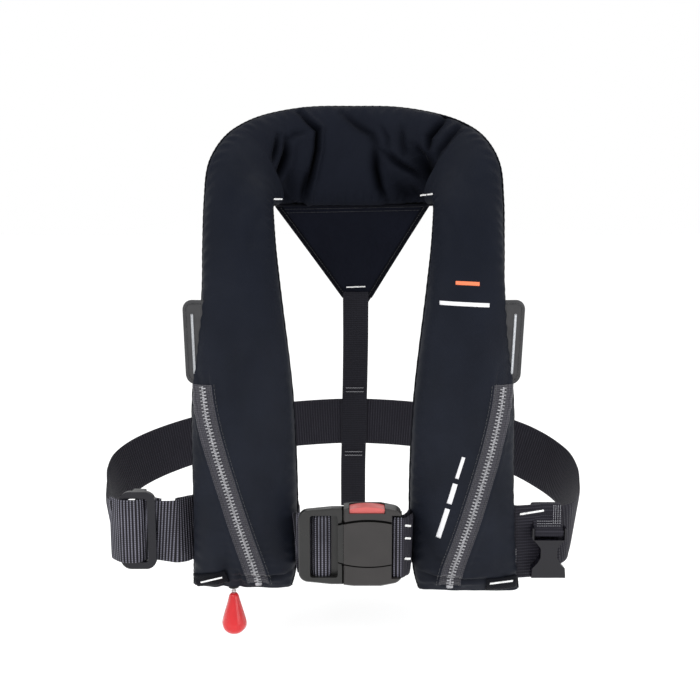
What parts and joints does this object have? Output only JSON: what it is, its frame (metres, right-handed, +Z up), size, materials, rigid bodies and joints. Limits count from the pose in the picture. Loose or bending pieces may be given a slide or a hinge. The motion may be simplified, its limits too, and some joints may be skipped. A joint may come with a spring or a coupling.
{
  "type": "inflatable life jacket",
  "caption": "Inflatable horseshoe life jacket with back yoke, waist belt, push-button buckle, crotch strap socket and a red firing toggle.",
  "frame": {"origin": "middle of the neck opening, level with the seam where the yoke meets the collar", "axes": "+X towards the wearer's left, +Y towards the wearer's back, +Z up along the wearer's body"},
  "size_m": [0.4499, 0.2664, 0.4756],
  "materials": {
    "cover_fabric": "smooth coated black-navy cover cloth with a fine weave",
    "collar_fabric": "softer black cloth, puckered where it folds round the neck",
    "lining_fabric": "black knitted mesh lining",
    "bladder_fabric": "yellow coated nylon, folded flat",
    "yoke_fabric": "black woven cloth",
    "binding_tape": "black folded binding tape",
    "webbing": "black ribbed polyester webbing",
    "zip_tape": "dark grey woven zip tape",
    "zip_teeth": "silver-grey moulded teeth",
    "zip_slider": "black painted die-cast zip slider",
    "tab_fabric": "dark grey stitched web flap",
    "reflective_tape": "silver retroreflective piping",
    "white_thread": "white bar-tack thread",
    "buckle_plastic": "dark grey moulded acetal",
    "buckle_face": "dark grey moulded acetal with a finer grain",
    "steel": "plain stainless steel",
    "button_red": "satin red moulded plastic",
    "slider_plastic": "black-grey moulded nylon",
    "crotch_plastic": "black-grey moulded acetal with a soft shine",
    "toggle_red": "glossy red moulded plastic",
    "lanyard_cord": "red braided cord",
    "rubber_black": "black rubber",
    "inflator_plastic": "black glass-filled nylon",
    "lever_red": "red moulded lever",
    "cylinder_metal": "zinc-grey painted steel",
    "manifold_plastic": "dark grey moulded elbow",
    "valve_orange": "orange valve poppet",
    "cap_plastic": "black cap",
    "whistle_orange": "orange moulded whistle"
  },
  "bodies": {
    "root": {"right_lobe_cover": "cover_fabric", "right_lobe_lining": "lining_fabric", "left_lobe_cover": "cover_fabric", "left_lobe_lining": "lining_fabric", "collar_cover": "collar_fabric", "collar_lining": "lining_fabric", "bladder": "bladder_fabric", "yoke": "yoke_fabric", "yoke_binding": "binding_tape", "back_strap": "webbing", "strap_tunnel": "webbing", "right_zip_tape": "zip_tape", "right_zip_teeth": "zip_teeth", "left_zip_tape": "zip_tape", "left_zip_teeth": "zip_teeth", "zip_sliders": "zip_slider", "right_side_tab": "tab_fabric", "left_side_tab": "tab_fabric", "side_tab_reflectors": "reflective_tape", "right_hem_tab": "webbing", "left_hem_tab": "webbing", "bar_tacks": "white_thread", "waist_belt": "webbing", "belt_return": "webbing", "crotch_web_loop": "webbing", "socket_front": "buckle_face", "socket_back": "buckle_plastic", "socket_web_bar": "steel", "latch_spring": "steel", "lanyard_grommet": "rubber_black", "inflator_body": "inflator_plastic", "lever_pin": "steel", "pin_spring": "steel", "cylinder_washer": "rubber_black", "bladder_manifold": "manifold_plastic", "oral_tube": "rubber_black", "valve_spring": "steel", "whistle": "whistle_orange"},
    "tongue_half": {"buckle_frame": "buckle_plastic", "frame_web_bar": "steel", "buckle_web_loop": "webbing"},
    "button": {"release_button": "button_red", "latch_plate": "steel"},
    "lanyard": {"pull_lanyard": "lanyard_cord"},
    "toggle": {"pull_toggle": "toggle_red"},
    "lever": {"inflator_lever": "lever_red"},
    "piercer": {"piercing_pin": "steel"},
    "cylinder": {"gas_cylinder": "cylinder_metal"},
    "crotch_socket_half": {"crotch_buckle": "crotch_plastic"},
    "slider": {"belt_slider": "slider_plastic", "slider_web_loop": "webbing"},
    "valve": {"oral_valve": "valve_orange"},
    "cap": {"oral_cap": "cap_plastic"}
  },
  "joints": [
    {"name": "tongue_release", "type": "slide", "parent": "root", "child": "tongue_half", "axis": [-1, 0, 0], "range_m": [0, 0.032]},
    {"name": "button_press", "type": "slide", "parent": "root", "child": "button", "axis": [0, 0, -1], "range_m": [0, 0.003], "stiffness_N_per_m": 400, "springref_m": -0.002, "deforming": ["latch_spring"]},
    {"name": "lanyard_pull", "type": "slide", "parent": "root", "child": "lanyard", "axis": [0, 0, -1], "range_m": [0, 0.03]},
    {"name": "toggle_swing", "type": "hinge", "parent": "lanyard", "child": "toggle", "pos_m": [-0.1055, -0.1, -0.355], "axis": [1, 0, 0], "range_deg": [-25, 25]},
    {"name": "lever_turn", "type": "hinge", "parent": "root", "child": "lever", "pos_m": [-0.088, -0.1015, -0.312], "axis": [0, -1, 0], "range_deg": [0, 96]},
    {"name": "pin_drive", "type": "slide", "parent": "root", "child": "piercer", "axis": [0, 0, 1], "range_m": [0, 0.0035], "deforming": ["pin_spring"]},
    {"name": "cylinder_unscrew", "type": "hinge", "parent": "root", "child": "cylinder", "pos_m": [-0.082, -0.1015, -0.28], "axis": [0, 0, 1], "continuous": true},
    {"name": "crotch_socket_swing", "type": "hinge", "parent": "root", "child": "crotch_socket_half", "pos_m": [0.169, -0.1075, -0.297], "axis": [-1, 0, 0], "range_deg": [-3, 75]},
    {"name": "slider_shift", "type": "slide", "parent": "root", "child": "slider", "axis": [1, 0, 0], "range_m": [-0.012, 0.012]},
    {"name": "valve_press", "type": "slide", "parent": "root", "child": "valve", "axis": [0, 0, -1], "range_m": [0, 0.003], "stiffness_N_per_m": 150, "springref_m": -0.001, "deforming": ["valve_spring"]},
    {"name": "cap_pull", "type": "slide", "parent": "root", "child": "cap", "axis": [0, 0, 1], "range_m": [0, 0.014]}
  ],
  "couplings": [
    {"joint": "lever_turn", "follows": "lanyard_pull", "rad_per_m": 54.1},
    {"joint": "pin_drive", "follows": "lanyard_pull", "ratio": 0.1133}
  ]
}
